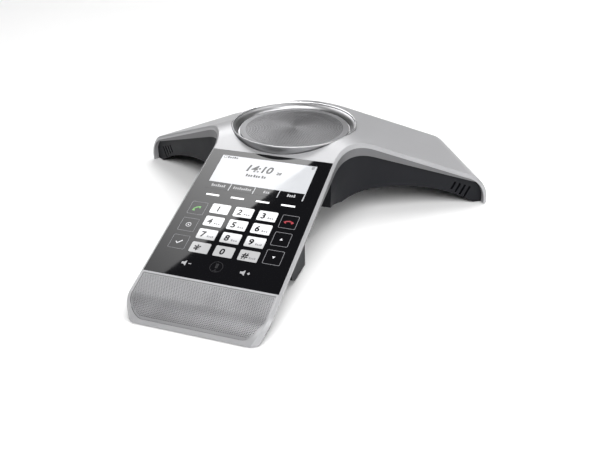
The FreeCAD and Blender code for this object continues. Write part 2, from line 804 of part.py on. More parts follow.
def make_driver():
    """The loudspeaker driver, from its magnet up to the foam gasket under the ring's ledge."""
    driver_part("speaker_enclosure", [
        (None, 0, -25), ("driver_radius", 2, -25), ("driver_radius", 2, 0),
        ("driver_radius", -3.5, 0), ("driver_radius", -3.5, -1.8), ("driver_radius", 0, -1.8),
        ("driver_radius", 0, -23), (None, 0, -23)])
    driver_part("speaker_magnet", [
        (None, 0, -22.5), ("magnet_radius", 0, -22.5), ("magnet_radius", 0, -12.8),
        ("coil_radius", 1.3, -12.8), ("coil_radius", 1.3, -20), ("coil_radius", -1.3, -20),
        ("coil_radius", -1.3, -12.8), (None, 0, -12.8)])
    driver_part("speaker_basket", [
        ("coil_radius", 3, -12.7), ("magnet_radius", 1.5, -12.7), ("magnet_radius", 1.8, -11.6),
        ("driver_radius", -4.5, 0), ("driver_radius", 0, 0.1), ("driver_radius", 0, 1.7),
        ("driver_radius", -5.7, 1.7), ("driver_radius", -5.7, 0.4), ("magnet_radius", 0.8, -11.3),
        ("coil_radius", 3, -11.3)])
    driver_part("voice_coil", [
        ("coil_radius", -0.4, -18.2), ("coil_radius", 0.4, -18.2), ("coil_radius", 0.4, -7.6),
        ("coil_radius", -0.4, -7.6)])
    driver_part("speaker_cone", [
        ("coil_radius", 0.4, -8.6), ("cone_radius", 0, 0.3), ("cone_radius", 0, 1.1),
        ("coil_radius", 0.4, -7.6)])
    driver_part("dust_cap", [
        (None, 0, -3.7), ("coil_radius", -1.5, -4.7), ("coil_radius", 2.4, -6.7), ("coil_radius", 2.4, -5.9),
        ("coil_radius", -1.5, -3.9), (None, 0, -2.9)])
    driver_part("speaker_surround", [
        ("cone_radius", 0.2, 0.7), ("cone_radius", 1.2, 2.3), ("cone_radius", 2.8, 2.9),
        ("cone_radius", 4.4, 2.4), ("cone_radius", 5.6, 1.8), ("driver_radius", -2.5, 1.8),
        ("driver_radius", -2.5, 2.4), ("cone_radius", 5.8, 2.4), ("cone_radius", 4.6, 3.1),
        ("cone_radius", 2.8, 3.6), ("cone_radius", 0.8, 3), ("cone_radius", 0.2, 1.7)])
    driver_part("speaker_spider", [
        ("coil_radius", 0.7, -10.9), ("magnet_radius", -4, -10.9), ("magnet_radius", -4, -10.5),
        ("coil_radius", 0.7, -10.5)])
    turned_part("speaker_gasket", [
        ("Sizes.driver_radius - 2.2", "Sizes.driver_seat + 1.8"),
        ("Sizes.driver_radius", "Sizes.driver_seat + 1.8"),
        ("Sizes.driver_radius", "Sizes.grille_height - 2.8"),
        ("Sizes.driver_radius - 2.2", "Sizes.grille_height - 2.8")])


# --- touch panel ------------------------------------------------------------------------------------

def panel_plate(name, width, length, thickness, across, down, depth, corner=None):
    """A plate lying in the touch panel: its top is the given depth below the glass surface."""
    body = plate_body(name, f"({width}) / 2", f"({length}) / 2", thickness, corner)
    drop = float(sheet.evalExpression(thickness)) + depth
    return finish_part(body, name, on_panel(across, down, drop))


def make_glass():
    """The black cover glass, with shallow pockets for the display window and the white keys."""
    body = plate_body("glass_panel", "Sizes.panel_width / 2", "Sizes.panel_length / 2",
                      "Sizes.glass_thickness", "0.6")
    pockets = [(0.0, size("display_margin") + size("display_length") / 2,
                "Sizes.display_width + 2 * Sizes.inlay_play", "Sizes.display_length + 2 * Sizes.inlay_play")]
    for across, down in key_places():
        pockets.append((across, down, "Sizes.key_width + 2 * Sizes.inlay_play",
                        "Sizes.key_length + 2 * Sizes.inlay_play"))
    for across in soft_key_places():
        pockets.append((across, size("soft_key_row"), "Sizes.soft_key_width + 2 * Sizes.inlay_play",
                        "Sizes.soft_key_length + 2 * Sizes.inlay_play"))
    document.recompute()
    for number, (across, down, width, length) in enumerate(pockets, start=1):
        middle = size("panel_length") / 2 - down
        corners = []
        for side, end in ((-1, -1), (1, -1), (1, 1), (-1, 1)):
            corners.append((f"{across} + {side} * ({width}) / 2", f"{middle} + {end} * ({length}) / 2"))
        before = body.Shape.Volume
        pocket = body.newObject("PartDesign::Pocket", f"window_pocket_{number}")
        pocket.Profile = outline_sketch(body, "XY_Plane", corners)
        pocket.Profile[0].setExpression("AttachmentOffset.Base.z", "Sizes.glass_thickness")
        pocket.setExpression("Length", "Sizes.inlay_depth")
        document.recompute()
        if body.Shape.Volume > before - 1:
            raise RuntimeError("a window pocket cut nothing")
    finish_part(body, "glass_panel", on_panel(0, size("panel_length") / 2, size("glass_thickness")))


def key_places():
    """Centres of the twelve white keys: (across, down the slope)."""
    places = []
    for line in range(4):
        for column in range(-1, 2):
            places.append((column * size("key_pitch_across"),
                           size("first_key_row") + line * size("key_pitch_down")))
    return places


def soft_key_places():
    """Offsets across of the four soft-key bars."""
    return [(number - 1.5) * size("soft_key_pitch") for number in range(4)]


def inlay(kind, across, down):
    """One flat inlay of the glass, flush with its face."""
    width = size(kind + "_width")
    length = size(kind + "_length")
    block = Part.makeBox(width, length, size("inlay_depth"), Vector(-width / 2, -length / 2, 0))
    upright_edges = [edge for edge in block.Edges if abs(edge.tangentAt(0).z) > 0.99]
    block = block.makeFillet(size(kind + "_corner"), upright_edges)
    block.Placement = on_panel(across, down, size("inlay_depth"))
    return block


def make_windows():
    """The flush inlays of the glass: the display window, twelve key faces and four soft-key bars."""
    panel_plate("display_window", "Sizes.display_width", "Sizes.display_length", "Sizes.inlay_depth",
                0, size("display_margin") + size("display_length") / 2, 0)
    faces = [inlay("key", across, down) for across, down in key_places()]
    shape_part("key_faces", Part.makeCompound(faces))
    bars = [inlay("soft_key", across, size("soft_key_row")) for across in soft_key_places()]
    shape_part("soft_key_bars", Part.makeCompound(bars))


def make_panel_stack():
    """What lies under the glass: the display, its light, the touch board and the main board."""
    middle = size("display_margin") + size("display_length") / 2
    under = size("glass_thickness") + 0.1
    light = under + size("cell_thickness") + 0.1
    board = light + size("light_thickness") + 0.8
    chips = board + 1.3
    cell_width = "Sizes.display_width + Sizes.display_frame"
    cell_length = "Sizes.display_length + 1"
    panel_plate("display_cell", cell_width, cell_length, "Sizes.cell_thickness", 0, middle, under)
    panel_plate("display_backlight", cell_width, cell_length, "Sizes.light_thickness", 0, middle, light)
    panel_plate("touch_board", "Sizes.panel_width - 8", "Sizes.touch_board_length", "1.0",
                0, size("touch_board_place"), under)
    panel_plate("main_board", "Sizes.main_board_width", "Sizes.main_board_length", "1.2",
                0, size("main_board_place"), board)
    panel_plate("shield_can", "Sizes.shield_width", "Sizes.shield_length", "1.5", -18, 13.0, chips, "0.8")
    panel_plate("processor", "Sizes.chip_width", "Sizes.chip_width", "1.2", 20, 13.0, chips)


# --- inside the hub and the arms ----------------------------------------------------------------------

def make_hub_board():
    """The power board under the loudspeaker, its radio module and the antenna in the left arm."""
    box_part("power_board", "Sizes.hub_board", "Sizes.hub_board", "1.2",
             Placement(Vector(0, 0, size("hub_board_level")), Rotation()))
    on_board = Placement(Vector(8, 4, size("hub_board_level") + 1.2), Rotation())
    box_part("radio_module", "14", "12", "2", on_board)
    box_part("antenna", "Sizes.antenna_width", "Sizes.antenna_length", "0.8",
             on_leg("left", size("antenna_place"), 0, size("antenna_level")))


def make_microphones():
    """A microphone in a rubber boot in each tip, and the mesh behind the slots of the side arms."""
    middle = size("slot_start") + 1.5 * size("slot_pitch")
    thickness = size("mesh_thickness")
    length = size("mesh_length")
    room = housing_volume(size("housing_wall") + 0.1).common(band_volume(thickness))
    room = room.common(top_volume(size("cover_thickness") + thickness))
    for kind, flank in (("right", -1), ("left", 1)):
        turn = Placement(Vector(), Rotation(Vector(0, 1, 0), 90 * flank))
        seat = on_leg(kind, middle, flank * size("mic_reach"), size("mic_level"))
        add_microphone(kind, seat.multiply(turn))
        mesh = []
        for side in (-1, 1):
            corner = Vector(-thickness / 2, -length / 2, 0)
            strip = Part.makeBox(thickness, length, size("mesh_height"), corner)
            strip.Placement = on_leg(kind, middle, side * (size("mic_reach") + 4.2), 0)
            mesh.append(strip.common(room).Solids[0])
        shape_part(kind + "_slot_mesh", Part.makeCompound(mesh))
    add_microphone("front", on_leg("front", size("front_mic_place"), 0, size("front_mic_level")))


def add_microphone(kind, seat):
    """A microphone capsule with its rubber boot, facing along +Z of the given frame."""
    capsule = document.addObject("Part::Cylinder", kind + "_microphone")
    capsule.setExpression("Radius", "Sizes.mic_radius")
    capsule.Height = 2.6
    finish_part(capsule, kind + "_microphone", seat)
    outside = document.addObject("Part::Cylinder", kind + "_boot_outside")
    outside.setExpression("Radius", "Sizes.mic_radius + 1.3")
    outside.Height = 3.6
    bore = document.addObject("Part::Cylinder", kind + "_boot_bore")
    bore.setExpression("Radius", "Sizes.mic_radius")
    bore.Height = 10
    bore.Placement = Placement(Vector(0, 0, -3), Rotation())
    boot = document.addObject("Part::Cut", kind + "_mic_boot")
    boot.Base = outside
    boot.Tool = bore
    finish_part(boot, kind + "_mic_boot", seat)


def make_usb_port():
    """A small charging socket in the rear wall, between the side legs."""
    outside = document.addObject("Part::Box", "usb_outside")
    outside.setExpression("Length", "Sizes.port_width")
    outside.setExpression("Width", "Sizes.port_depth")
    outside.setExpression("Height", "Sizes.port_height")
    hollow = document.addObject("Part::Box", "usb_hollow")
    hollow.setExpression("Length", "Sizes.port_width - 0.8")
    hollow.setExpression("Width", "Sizes.port_depth")
    hollow.setExpression("Height", "Sizes.port_height - 0.8")
    hollow.Placement = Placement(Vector(0.4, 0.6, 0.4), Rotation())
    socket = document.addObject("Part::Cut", "usb_port")
    socket.Base = outside
    socket.Tool = hollow
    place = Vector(-size("port_width") / 2, size("port_place"), size("port_level"))
    finish_part(socket, "usb_port", Placement(place, Rotation()))


# --- battery pod ------------------------------------------------------------------------------------

def make_battery():
    """The battery pack, its spring contacts and the sliding door under it."""
    body = plate_body("battery_pack", "Sizes.battery_width / 2", "Sizes.battery_length / 2",
                      "Sizes.battery_height", "2.5")
    middle = (size("pod_back") + size("pod_front")) / 2
    level = size("pod_floor") + size("door_thickness") + 0.5
    finish_part(body, "battery_pack", on_leg("front", middle + 0.5, 0, level))
    contacts = []
    wall = size("pod_back") + size("pod_wall") + 0.7
    for number in range(3):
        block = Part.makeBox(2.4, 1.2, 6, Vector(-1.2, -0.6, 0))
        block.Placement = on_leg("front", wall, 24 + 5 * (number - 1), level + 4)
        contacts.append(block)
    shape_part("battery_contacts", Part.makeCompound(contacts))


def make_battery_door():
    """The door: a plate with a slanted front edge and a tongue along each side."""
    body = document.addObject("PartDesign::Body", "battery_door")
    back = "-(Sizes.pod_back + Sizes.pod_wall + Sizes.door_play)"
    low = "Sizes.pod_floor"
    high = "Sizes.pod_floor + Sizes.door_thickness"
    nose = "-(Sizes.pod_front - 1.5 * Sizes.pod_bevel)"
    plate = body.newObject("PartDesign::Pad", "door_plate")
    plate.Profile = outline_sketch(body, "YZ_Plane", [
        (back, low), (nose, low), (nose + " - 1.5 * Sizes.door_thickness", high), (back, high)])
    plate.SideType = "Symmetric"
    plate.setExpression("Length", "2 * Sizes.door_half_width")
    tongue = body.newObject("PartDesign::Pad", "door_tongues")
    tongue_low = "Sizes.pod_floor + Sizes.tongue_height"
    tongue_high = "Sizes.pod_floor + Sizes.tongue_height + Sizes.tongue_thickness"
    tongue.Profile = outline_sketch(body, "YZ_Plane", [
        (back + " - 2", tongue_low), (nose + " + 2", tongue_low), (nose + " + 2", tongue_high),
        (back + " - 2", tongue_high)])
    tongue.SideType = "Symmetric"
    tongue.setExpression("Length", "2 * (Sizes.door_half_width + Sizes.tongue_reach)")
    finish_part(body, "battery_door")
    level = Placement(Vector(0, 0, size("pod_floor") - 0.25), Rotation())
    box_part("rating_plate", "46", "11", "0.25", on_leg("front", 106.5).multiply(level))


# --- fasteners ----------------------------------------------------------------------------------------

def make_screws():
    """The housing screws: round heads with a cross recess, turned up into the cover's bosses."""
    screws = []
    for kind, along, across in screw_places():
        seat = size("screw_seat")
        head = Part.makeCylinder(size("screw_head_radius"), 1.8, Vector(0, 0, seat - 1.8))
        shank = Part.makeCylinder(size("screw_radius"), 11, Vector(0, 0, seat))
        screw = head.fuse(shank)
        for turn in (0, 90):
            slot = Part.makeBox(3.2, 0.7, 1.2, Vector(-1.6, -0.35, seat - 2.0))
            slot.rotate(Vector(), Vector(0, 0, 1), turn)
            screw = screw.cut(slot)
        screw.Placement = on_leg(kind, along, across)
        screws.append(screw)
    shape_part("housing_screws", Part.makeCompound(screws))


# --- run ---------------------------------------------------------------------------------------------

make_top_cover()
make_middle_frame()
make_lower_housing()
make_front_grille()
make_speaker_ring()
make_speaker_grille()
make_driver()
make_glass()
make_windows()
make_panel_stack()
make_hub_board()
make_microphones()
make_usb_port()
make_battery()
make_battery_door()
make_feet()
make_screws()

document.recompute()
for thing in document.Objects:
    if "Invalid" in thing.State or "Error" in thing.State:
        raise RuntimeError(f"{thing.Name} failed: {thing.State}")
for part in EVERY_PART:
    if part.Shape.isNull() or not part.Shape.isValid() or not part.Shape.Solids:
        raise RuntimeError(f"{part.Label} has no valid shape")
    print(part.Label, len(part.Shape.Solids), round(part.Shape.Volume), part.Shape.BoundBox)
os.makedirs("parts", exist_ok=True)
for part in EVERY_PART:
    part.Shape.exportStep(f"parts/{part.Label}.step")
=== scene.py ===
import math

import bmesh
import bpy
from mathutils import Matrix, Vector
from mathutils.geometry import delaunay_2d_cdt


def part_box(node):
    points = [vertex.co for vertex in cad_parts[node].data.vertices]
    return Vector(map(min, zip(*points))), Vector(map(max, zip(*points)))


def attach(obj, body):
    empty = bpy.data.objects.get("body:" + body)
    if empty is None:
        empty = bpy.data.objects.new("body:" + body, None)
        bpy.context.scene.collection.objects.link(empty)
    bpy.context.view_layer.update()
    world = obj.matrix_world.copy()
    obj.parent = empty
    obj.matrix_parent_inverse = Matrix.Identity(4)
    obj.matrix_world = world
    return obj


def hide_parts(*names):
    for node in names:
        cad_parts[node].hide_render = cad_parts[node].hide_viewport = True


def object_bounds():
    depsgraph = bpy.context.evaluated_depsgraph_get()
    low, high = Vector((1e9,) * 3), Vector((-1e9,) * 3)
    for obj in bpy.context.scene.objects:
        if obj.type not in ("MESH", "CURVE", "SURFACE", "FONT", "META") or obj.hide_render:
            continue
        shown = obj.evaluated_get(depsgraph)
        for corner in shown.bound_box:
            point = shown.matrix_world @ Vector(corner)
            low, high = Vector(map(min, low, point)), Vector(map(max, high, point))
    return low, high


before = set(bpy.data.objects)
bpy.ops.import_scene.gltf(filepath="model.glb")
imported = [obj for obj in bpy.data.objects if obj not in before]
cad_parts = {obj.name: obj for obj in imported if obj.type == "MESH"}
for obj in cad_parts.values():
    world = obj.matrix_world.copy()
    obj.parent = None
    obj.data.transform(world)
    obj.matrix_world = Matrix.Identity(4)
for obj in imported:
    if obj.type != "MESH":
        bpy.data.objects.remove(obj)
cad_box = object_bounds()

# A tabletop conference phone: satin silver cover on three legs, a bright round loudspeaker ring,
# a black touch glass with a lit display and white keys, and perforated grilles. Lengths on the
# object are written in millimetres and turned into metres by MM.

MM = 0.001

# --- places worked out from the frame --------------------------------------------------------------

RING_LOW, RING_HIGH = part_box("speaker_ring")
GRILLE_LOW, GRILLE_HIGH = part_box("speaker_grille")
GLASS_LOW, GLASS_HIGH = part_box("glass_panel")
FRONT_GRILLE_LOW, FRONT_GRILLE_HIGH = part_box("front_grille")

RING_X = (RING_LOW[0] + RING_HIGH[0]) / 2
RING_Y = (RING_LOW[1] + RING_HIGH[1]) / 2
RING_OFFSET = 3.5 * MM                 # the ring sits this far behind the point where the legs meet
HUB_Y = RING_Y - RING_OFFSET
RING_RADIUS = RING_HIGH[0] - RING_X
GRILLE_RADIUS = GRILLE_HIGH[0] - RING_X

# the glass, as a flat panel that slopes down from its upper edge
GLASS_SLOPE = math.radians(18.2)
GLASS_THICKNESS = 1.6 * MM
PANEL_TOP = Vector(((GLASS_LOW[0] + GLASS_HIGH[0]) / 2,
                    GLASS_HIGH[1] - GLASS_THICKNESS * math.sin(GLASS_SLOPE),
                    GLASS_HIGH[2]))
PANEL_DOWN = Vector((0, -math.cos(GLASS_SLOPE), -math.sin(GLASS_SLOPE)))
PANEL_NORMAL = Vector((0, -math.sin(GLASS_SLOPE), math.cos(GLASS_SLOPE)))

# the nose that rolls the front grille over at the tip, seen from the side
NOSE_ALONG = 165.0 * MM                # distance of the nose's centre from the hub
NOSE_HEIGHT = -7.11 * MM
NOSE_RADIUS = 21.5 * MM

# the front grille, with distances along the leg measured from the hub
FRONT_HALF = FRONT_GRILLE_HIGH[0]
FRONT_START = HUB_Y - FRONT_GRILLE_HIGH[1]
FRONT_TIP = HUB_Y - FRONT_GRILLE_LOW[1]
FRONT_CORNER = 11.75 * MM
FRONT_STRAIGHT = (NOSE_ALONG + NOSE_RADIUS * math.sin(GLASS_SLOPE) - FRONT_START) / math.cos(GLASS_SLOPE)

# the perforated sheet that both grilles are made of
HOLE_PITCH = 1.15 * MM
HOLE_RADIUS = 0.36 * MM
HOLE_CORNERS = 6
SHEET_DEPTH = 0.7 * MM

# places on the glass, in millimetres across from its middle and down from its upper edge
DISPLAY_LEFT = -35.5
TAB_PITCH = 17.75
TAB_GAP = 0.55
TAB_TOP = 33.0
TAB_BOTTOM = 39.9
KEY_PITCH_ACROSS = 16.77
KEY_PITCH_DOWN = 11.66
FIRST_KEY_ROW = 57.55
FIELD_WIDTH = 11.66
FIELD_LINE = 0.35
FIELD_ACROSS = 32.54
FIRST_FIELD_ROW = 59.69
FIELD_PITCH = 15.39
MARK_THICKNESS = 0.05                  # how far the printed marks stand above the glass


# --- mesh helpers -------------------------------------------------------------------------------------

def link_object(name, data):
    """A new object in the scene that shows a mesh, a light or a camera."""
    item = bpy.data.objects.new(name, data)
    bpy.context.scene.collection.objects.link(item)
    return item


def standing(right, up, back, place):
    """The matrix that turns an object's own X, Y and Z to three directions and moves it to a place."""
    matrix = Matrix.Identity(4)
    for row in range(3):
        matrix[row][0] = right[row]
        matrix[row][1] = up[row]
        matrix[row][2] = back[row]
        matrix[row][3] = place[row]
    return matrix


def mesh_object(name, shape, material, smooth_below=30.0):
    """A piece on the main body, smooth except across edges sharper than an angle in degrees."""
    mesh = bpy.data.meshes.new(name)
    bmesh.ops.recalc_face_normals(shape, faces=shape.faces)
    shape.to_mesh(mesh)
    shape.free()
    for polygon in mesh.polygons:
        polygon.use_smooth = True
    mesh.set_sharp_from_angle(angle=math.radians(smooth_below))
    mesh.materials.append(material)
    piece = link_object(name, mesh)
    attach(piece, "root")
    return piece


def arc(centre_across, centre_up, radius, start, end, steps):
    """Points on a circular arc, with the angles in degrees."""
    points = []
    for step in range(steps + 1):
        angle = math.radians(start + (end - start) * step / steps)
        points.append((centre_across + radius * math.cos(angle), centre_up + radius * math.sin(angle)))
    return points


def curve_points(start, bend, end, steps):
    """Points on a quadratic curve that leaves start and reaches end towards the bend point."""
    points = []
    for step in range(steps + 1):
        t = step / steps
        points.append(tuple((1 - t) ** 2 * a + 2 * t * (1 - t) * b + t * t * c
                            for a, b, c in zip(start, bend, end)))
    return points


def lathe(name, profile, material, segments=192):
    """A closed profile of (radius, height) points turned about the loudspeaker's axis."""
    shape = bmesh.new()
    rings = []
    centre = Vector((RING_X, RING_Y, 0))
    for step in range(segments):
        angle = 2 * math.pi * step / segments
        side = Vector((math.cos(angle), math.sin(angle), 0))
        rings.append([shape.verts.new(centre + side * radius + Vector((0, 0, height)))
                      for radius, height in profile])
    for step, ring in enumerate(rings):
        following = rings[(step + 1) % segments]
        for index in range(len(profile)):
            after = (index + 1) % len(profile)
            shape.faces.new((ring[index], following[index], following[after], ring[after]))
    return mesh_object(name, shape, material, smooth_below=35)


def perforated(name, outline, holes, place, material):
    """A sheet with open holes. place(x, y, depth) bends the flat sheet into its shape."""
    flat = [Vector(point) for point in outline]
    owner = [-1] * len(flat)
    loops = [list(range(len(flat)))]
    for number, (x, y) in enumerate(holes):
        first = len(flat)
        for corner in range(HOLE_CORNERS):
            angle = 2 * math.pi * (corner + 0.5) / HOLE_CORNERS
            flat.append(Vector((x + HOLE_RADIUS * math.cos(angle), y + HOLE_RADIUS * math.sin(angle))))
            owner.append(number)
        loops.append(list(range(first, len(flat))))
    edges = [(loop[i], loop[(i + 1) % len(loop)]) for loop in loops for i in range(len(loop))]
    points, _, faces, origins, _, _ = delaunay_2d_cdt(flat, edges, [loops[0]], 1, 1e-9)
    owners = [owner[origin[0]] if origin else -1 for origin in origins]
    shape = bmesh.new()
    top = [shape.verts.new(place(point.x, point.y, 0.0)) for point in points]
    low = [shape.verts.new(place(point.x, point.y, SHEET_DEPTH)) for point in points]
    for face in faces:
        kinds = {owners[index] for index in face}
        if len(kinds) == 1 and -1 not in kinds:
            continue
        shape.faces.new([top[index] for index in face])
    rim = [edge for edge in shape.edges if len(edge.link_faces) == 1]
    partner = dict(zip(top, low))
    for edge in rim:
        first, second = edge.verts
        shape.faces.new((first, second, partner[second], partner[first]))
    loose = [vert for vert in shape.verts if not vert.link_faces]
    bmesh.ops.delete(shape, geom=loose, context="VERTS")
    return mesh_object(name, shape, material)


# --- shapes on the glass --------------------------------------------------------------------------------

def panel_point(across, down, lift=0.0):
    """A point over the glass, in millimetres across, down the slope and above the face."""
    return PANEL_TOP + (Vector((across, 0, 0)) + PANEL_DOWN * down + PANEL_NORMAL * lift) * MM


def add_plate(shape, points, low=0.0):
    """A thin flat plate on the glass, from a closed outline of (across, down) points."""
    bottom = [shape.verts.new(panel_point(across, down, low)) for across, down in points]
    high = low + MARK_THICKNESS
    top = [shape.verts.new(panel_point(across, down, high)) for across, down in points]
    shape.faces.new(top)
    shape.faces.new(bottom[::-1])
    for index in range(len(points)):
        after = (index + 1) % len(points)
        shape.faces.new((bottom[index], bottom[after], top[after], top[index]))


def add_bar(shape, across, down, width, length):
    """A thin rectangle centred on a place of the panel."""
    add_plate(shape, [(across - width / 2, down - length / 2), (across + width / 2, down - length / 2),
                      (across + width / 2, down + length / 2), (across - width / 2, down + length / 2)])


def rounded_square(across, down, width, corner, steps=4):
    """The outline of a square with round corners."""
    reach = width / 2 - corner
    points = []
    for turn, (side, end) in enumerate(((1, 1), (-1, 1), (-1, -1), (1, -1))):
        points += arc(across + side * reach, down + end * reach, corner, turn * 90, turn * 90 + 90, steps)
    return points


def add_outline(shape, outer, inner):
    """A thin flat band between two outlines with the same number of points."""
    for index in range(len(outer)):
        after = (index + 1) % len(outer)
        add_plate(shape, [outer[index], outer[after], inner[after], inner[index]])


def add_digits(shape, text, across, down, height, boldness, slant):
    """Digits drawn on the glass, with the lower left corner at a place of the panel."""
    size_for_height = 1.37
    curve = bpy.data.curves.new("digits", "FONT")
    curve.body = text
    curve.size = height * size_for_height
    curve.offset = boldness
    curve.shear = slant
    curve.extrude = MARK_THICKNESS / 2
    curve.resolution_u = 4
    holder = bpy.data.objects.new("digits", curve)
    mesh = bpy.data.meshes.new_from_object(holder)
    corner = panel_point(across, down, MARK_THICKNESS / 2)
    mesh.transform(standing(Vector((MM, 0, 0)), -PANEL_DOWN * MM, PANEL_NORMAL * MM, corner))
    shape.from_mesh(mesh)
    bpy.data.objects.remove(holder)
    bpy.data.curves.remove(curve)
    bpy.data.meshes.remove(mesh)


def add_word(shape, across, down, letters, width, height, low=0.0):
    """A blank word: a row of small upright blocks of two heights, in place of letters."""
    step = width / letters
    block = step * 0.7
    for number in range(letters):
        left = across + number * step
        right = left + block
        top = down - height * (1.0 if number % 3 == 0 else 0.75)
        add_plate(shape, [(left, top), (right, top), (right, down), (left, down)], low=low)


def handset(across, down, radius, lean):
    """The outline of a curved telephone handset, leaning by an angle in degrees."""
    outer = []
    inner = []
    half_turn = 46
    ends_from = 27
    steps = 24
    for step in range(steps + 1):
        turn = -half_turn + 2 * half_turn * step / steps
        thicker = 0.2 if abs(turn) > ends_from else 0.0
        angle = math.radians(-90 + turn + lean)
        for points, reach in ((outer, radius * 1.08), (inner, radius * (0.86 - thicker))):
            points.append((across + reach * math.cos(angle), down + reach * math.sin(angle)))
    return outer + inner[::-1]


# --- material helpers -----------------------------------------------------------------------------------

def add_node(tree, kind, **inputs):
    """A shader node with some of its input sockets set."""
    node = tree.nodes.new(kind)
    for key, value in inputs.items():
        node.inputs[key].default_value = value
    return node


def noise(tree, place, scale, detail=3.0, roughness=0.5):
    """A noise texture on the given coordinates."""
    node = add_node(tree, "ShaderNodeTexNoise", Scale=scale, Detail=detail, Roughness=roughness)
    tree.links.new(place, node.inputs["Vector"])
    return node.outputs["Fac"]


def spread(tree, value, low, high, start=0.3, end=0.7):
    """Stretches a noise value to run from low to high."""
    node = add_node(tree, "ShaderNodeMapRange")
    node.inputs["From Min"].default_value = start
    node.inputs["From Max"].default_value = end
    node.inputs["To Min"].default_value = low
    node.inputs["To Max"].default_value = high
    tree.links.new(value, node.inputs["Value"])
    return node.outputs["Result"]


def blend_colours(tree, value, first, second):
    """A colour between two, chosen by a value from 0 to 1."""
    node = tree.nodes.new("ShaderNodeMix")
    node.data_type = "RGBA"
    tree.links.new(value, node.inputs["Factor"])
    node.inputs["A"].default_value = (*first, 1)
    node.inputs["B"].default_value = (*second, 1)
    return node.outputs["Result"]


def bump(tree, height, depth):
    """A bump of a real depth in metres."""
    node = add_node(tree, "ShaderNodeBump", Strength=1.0, Distance=depth)
    tree.links.new(height, node.inputs["Height"])
    return node.outputs["Normal"]


def shade(colour, factor):
    """A colour made lighter or darker."""
    return tuple(min(channel * factor, 1.0) for channel in colour)


def surface(name, colour, roughness, metallic=0.0, grain=0.2 * MM, grain_depth=0.004 * MM,
            patch=18 * MM, mottle=0.05, rough_spread=0.06, gloss=0.5):
    """A finish with a fine grain, broad patches of tone and a roughness that drifts."""
    material = bpy.data.materials.new(name)
    material.use_nodes = True
    tree = material.node_tree
    shader = tree.nodes["Principled BSDF"]
    shader.inputs["Metallic"].default_value = metallic
    shader.inputs["Specular IOR Level"].default_value = gloss
    place = tree.nodes.new("ShaderNodeTexCoord").outputs["Object"]
    broad = noise(tree, place, 1 / patch)
    fine = noise(tree, place, 1 / grain, 2.0, 0.6)
    tone = blend_colours(tree, spread(tree, broad, 0.0, 1.0), shade(colour, 1 - mottle),
                         shade(colour, 1 + mottle))
    tree.links.new(tone, shader.inputs["Base Color"])
    tree.links.new(spread(tree, broad, roughness - rough_spread, roughness + rough_spread),
                   shader.inputs["Roughness"])
    tree.links.new(bump(tree, fine, grain_depth), shader.inputs["Normal"])
    return material


def from_ring_axis(tree):
    """The place on the surface, measured from the loudspeaker's axis."""
    place = tree.nodes.new("ShaderNodeTexCoord").outputs["Object"]
    shift = tree.nodes.new("ShaderNodeVectorMath")
    shift.operation = "SUBTRACT"
    shift.inputs[1].default_value = (RING_X, RING_Y, 0)
    tree.links.new(place, shift.inputs[0])
    return shift.outputs["Vector"]


def turned_metal(name, colour, roughness, line=0.12 * MM, line_depth=0.002 * MM, stretch=0.6):
    """Metal turned on a lathe: fine circular lines, and a sheen stretched across them."""
    material = bpy.data.materials.new(name)
    material.use_nodes = True
    tree = material.node_tree
    shader = tree.nodes["Principled BSDF"]
    shader.inputs["Metallic"].default_value = 1.0
    shader.inputs["Anisotropic"].default_value = stretch
    place = from_ring_axis(tree)
    parts = tree.nodes.new("ShaderNodeSeparateXYZ")
    tree.links.new(place, parts.inputs[0])
    flat = tree.nodes.new("ShaderNodeCombineXYZ")
    tree.links.new(parts.outputs["X"], flat.inputs["X"])
    tree.links.new(parts.outputs["Y"], flat.inputs["Y"])
    radius = tree.nodes.new("ShaderNodeVectorMath")
    radius.operation = "LENGTH"
    tree.links.new(flat.outputs[0], radius.inputs[0])
    track = tree.nodes.new("ShaderNodeCombineXYZ")
    tree.links.new(radius.outputs["Value"], track.inputs["X"])
    tree.links.new(parts.outputs["Z"], track.inputs["Y"])
    lines = noise(tree, track.outputs[0], 1 / line, 3.0, 0.7)
    smudges = noise(tree, place, 1 / (14 * MM))
    tone = blend_colours(tree, spread(tree, lines, 0.0, 1.0), shade(colour, 0.9), shade(colour, 1.1))
    tree.links.new(tone, shader.inputs["Base Color"])
    tree.links.new(spread(tree, smudges, roughness - 0.05, roughness + 0.05), shader.inputs["Roughness"])
    tree.links.new(bump(tree, lines, line_depth), shader.inputs["Normal"])
    turn = tree.nodes.new("ShaderNodeVectorMath")
    turn.operation = "CROSS_PRODUCT"
    turn.inputs[0].default_value = (0, 0, 1)
    tree.links.new(place, turn.inputs[1])
    tree.links.new(turn.outputs["Vector"], shader.inputs["Tangent"])
    return material


def polished(name, colour, roughness, glow=0.0):
    """A polished face with faint smudges in its gloss, and a glow where it is lit from behind."""
    material = surface(name, colour, roughness, grain=1.5 * MM, grain_depth=0.0004 * MM, mottle=0.03,
                       rough_spread=0.02)
    shader = material.node_tree.nodes["Principled BSDF"]
    shader.inputs["Emission Color"].default_value = (1.0, 1.0, 1.0, 1.0)
    shader.inputs["Emission Strength"].default_value = glow
    return material


def key_face_material():
    """White key faces with painted shade: the base colour is brightest at the top of the keypad and greyer
    in the last row, standing in for uneven light on the keys.
    """
    material = polished("key_white", (0.9, 0.9, 0.91), 0.06, 0.12)
    tree = material.node_tree
    shader = tree.nodes["Principled BSDF"]
    place = tree.nodes.new("ShaderNodeTexCoord").outputs["Object"]
    parts = tree.nodes.new("ShaderNodeSeparateXYZ")
    tree.links.new(place, parts.inputs[0])
    fade_end = panel_point(0, 86).y
    fade_start = panel_point(0, 76).y
    # painted shade: the last row of keys is greyer in its base colour, in place of uneven light
    painted_shade_ramp = spread(tree, parts.outputs["Y"], 0.0, 1.0, fade_end, fade_start)
    tone = blend_colours(tree, painted_shade_ramp, (0.34, 0.34, 0.345), (0.74, 0.74, 0.75))
    tree.links.new(tone, shader.inputs["Base Color"])
    return material


# --- materials ------------------------------------------------------------------------------------------

